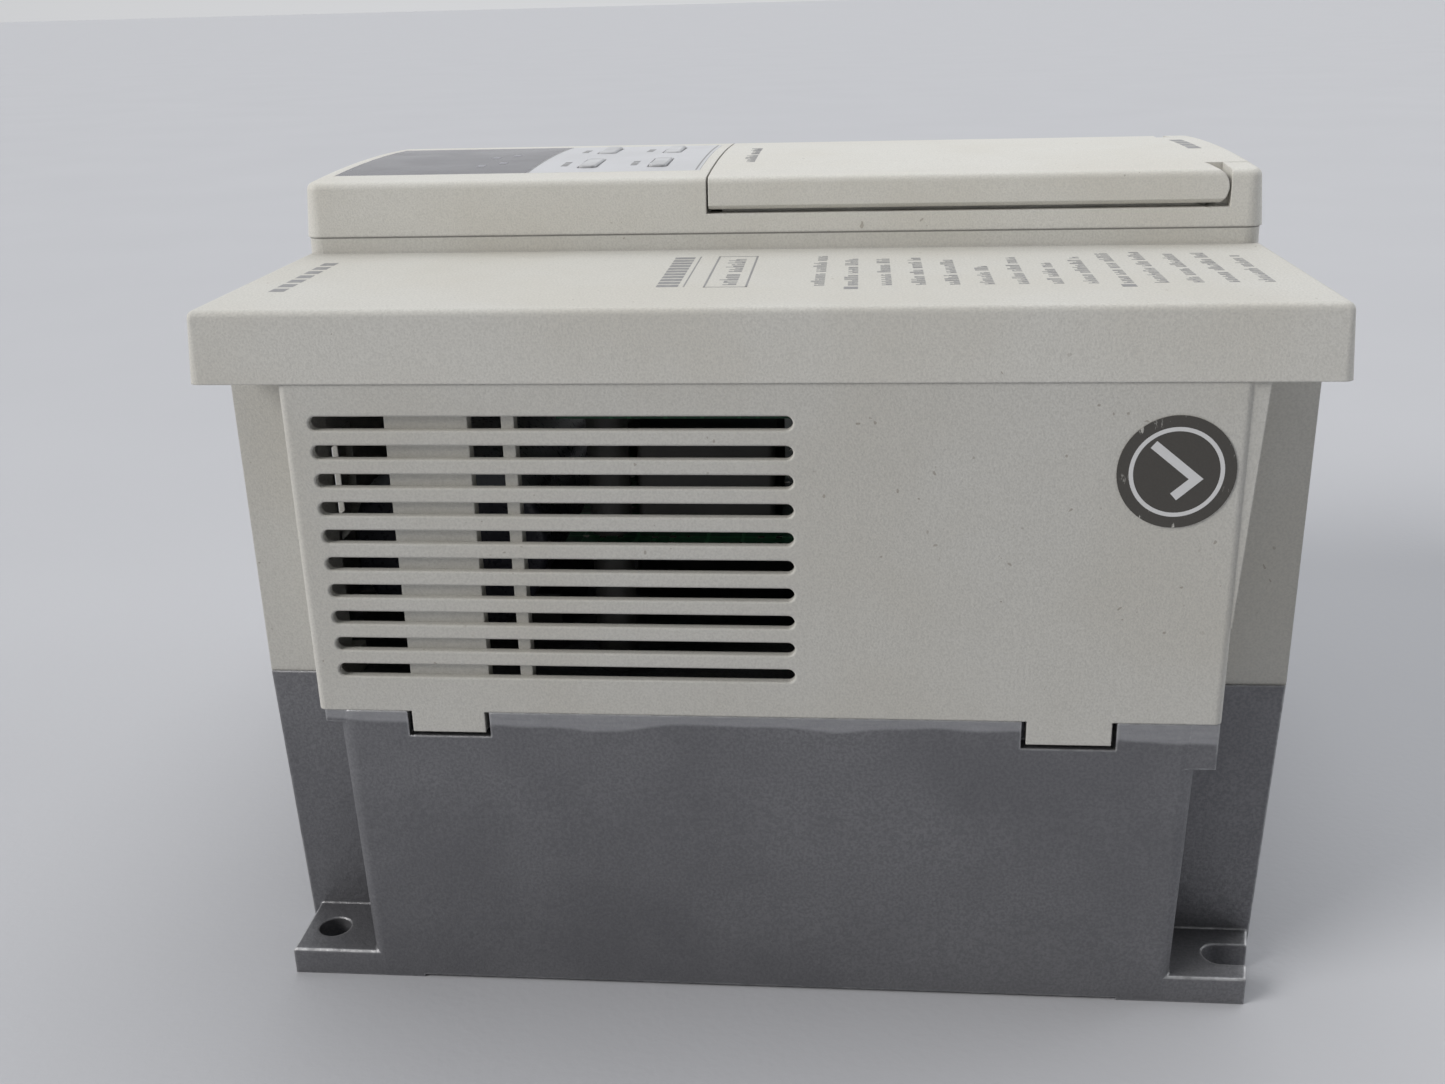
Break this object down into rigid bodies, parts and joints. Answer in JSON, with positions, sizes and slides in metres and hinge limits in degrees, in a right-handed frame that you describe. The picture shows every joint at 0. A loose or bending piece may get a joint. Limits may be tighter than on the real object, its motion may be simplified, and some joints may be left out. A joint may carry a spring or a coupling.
{
  "type": "variable frequency drive",
  "caption": "Small wall-mounted variable frequency drive with a finned aluminium base, louvred case, raised keypad console and hinged wiring flap.",
  "frame": {"origin": "centre of the mounting face, at the centre of the object's footprint", "axes": "+Z points out of the wall, X runs along the drive's height with the display end at -X and the terminal end at +X, Y runs across its width"},
  "size_m": [0.15, 0.15, 0.1152],
  "materials": {
    "cast_aluminium": "cast, grey, fine grained, satin",
    "beige_case": "moulded, fine texture, satin",
    "beige_cover": "moulded, fine texture, satin",
    "beige_console": "moulded, fine texture, satin",
    "smoked_window": "smoked, translucent, smooth",
    "label_film": "printed polyester film, cool white",
    "grey_keys": "moulded, satin",
    "black_moulding": "moulded black plastic",
    "module_epoxy": "black epoxy with a moulded rim",
    "board_green": "glass epoxy board with green resist",
    "capacitor_sleeve": "dark shrink sleeve",
    "plated_steel": "zinc plated",
    "plated_brass": "turned brass",
    "thermal_grease": "white thermal pad",
    "black_rubber": "moulded rubber",
    "grey_ribbon": "flat grey cable",
    "ferrite_core": "ferrite and yellow tape",
    "terminal_green": "moulded green plastic",
    "lamp_red": "tinted lens",
    "display_red": "dark red tinted lens",
    "plate_silver": "thin blank rating plate, brushed",
    "sticker_grey": "printed paper sticker"
  },
  "bodies": {
    "drive": {"heatsink": "cast_aluminium", "thermal_pad": "thermal_grease", "power_module": "module_epoxy", "rectifier_module": "module_epoxy", "module_screws": "plated_steel", "earth_screw": "plated_brass", "capacitor_cradle": "black_moulding", "bus_capacitors": "capacitor_sleeve", "main_terminal_block": "black_moulding", "main_terminal_screws": "plated_steel", "power_standoffs": "black_moulding", "power_board": "board_green", "control_standoffs": "black_moulding", "switching_transformer": "ferrite_core", "current_sensors": "black_moulding", "inrush_relay": "black_moulding", "ribbon_headers": "black_moulding", "ribbon_cable": "grey_ribbon", "control_board": "board_green", "board_screws": "plated_steel", "processor_chip": "module_epoxy", "alarm_relay": "black_moulding", "control_terminal_block": "terminal_green", "control_terminal_screws": "plated_steel", "unit_connector": "black_moulding", "charge_lamp": "lamp_red", "mid_case": "beige_case", "wiring_cover": "beige_case", "cable_grommets": "black_rubber", "front_cover": "beige_cover", "panel_housing": "beige_console", "display_window": "smoked_window", "keypad_label": "label_film", "display_board": "board_green", "led_digits": "display_red", "status_leds": "lamp_red", "key_switches": "black_moulding", "panel_lead": "grey_ribbon", "rating_plate": "plate_silver", "inspection_sticker": "sticker_grey"},
    "mode_key": {"mode_key": "grey_keys"},
    "set_key": {"set_key": "grey_keys"},
    "run_key": {"run_key": "grey_keys"},
    "stop_key": {"stop_key": "grey_keys"},
    "flap": {"flap_door": "beige_console"}
  },
  "joints": [
    {"name": "mode_key_press", "type": "slide", "parent": "drive", "child": "mode_key", "axis": [0, 0, -1], "range_m": [0, 0.0006], "stiffness_N_per_m": 400, "springref_m": -0.001},
    {"name": "set_key_press", "type": "slide", "parent": "drive", "child": "set_key", "axis": [0, 0, -1], "range_m": [0, 0.0006], "stiffness_N_per_m": 400, "springref_m": -0.001},
    {"name": "run_key_press", "type": "slide", "parent": "drive", "child": "run_key", "axis": [0, 0, -1], "range_m": [0, 0.0006], "stiffness_N_per_m": 400, "springref_m": -0.001},
    {"name": "stop_key_press", "type": "slide", "parent": "drive", "child": "stop_key", "axis": [0, 0, -1], "range_m": [0, 0.0006], "stiffness_N_per_m": 400, "springref_m": -0.001},
    {"name": "flap_hinge", "type": "hinge", "parent": "drive", "child": "flap", "pos_m": [0.06585, 0, 0.11175], "axis": [0, 1, 0], "range_deg": [0, 90]}
  ]
}
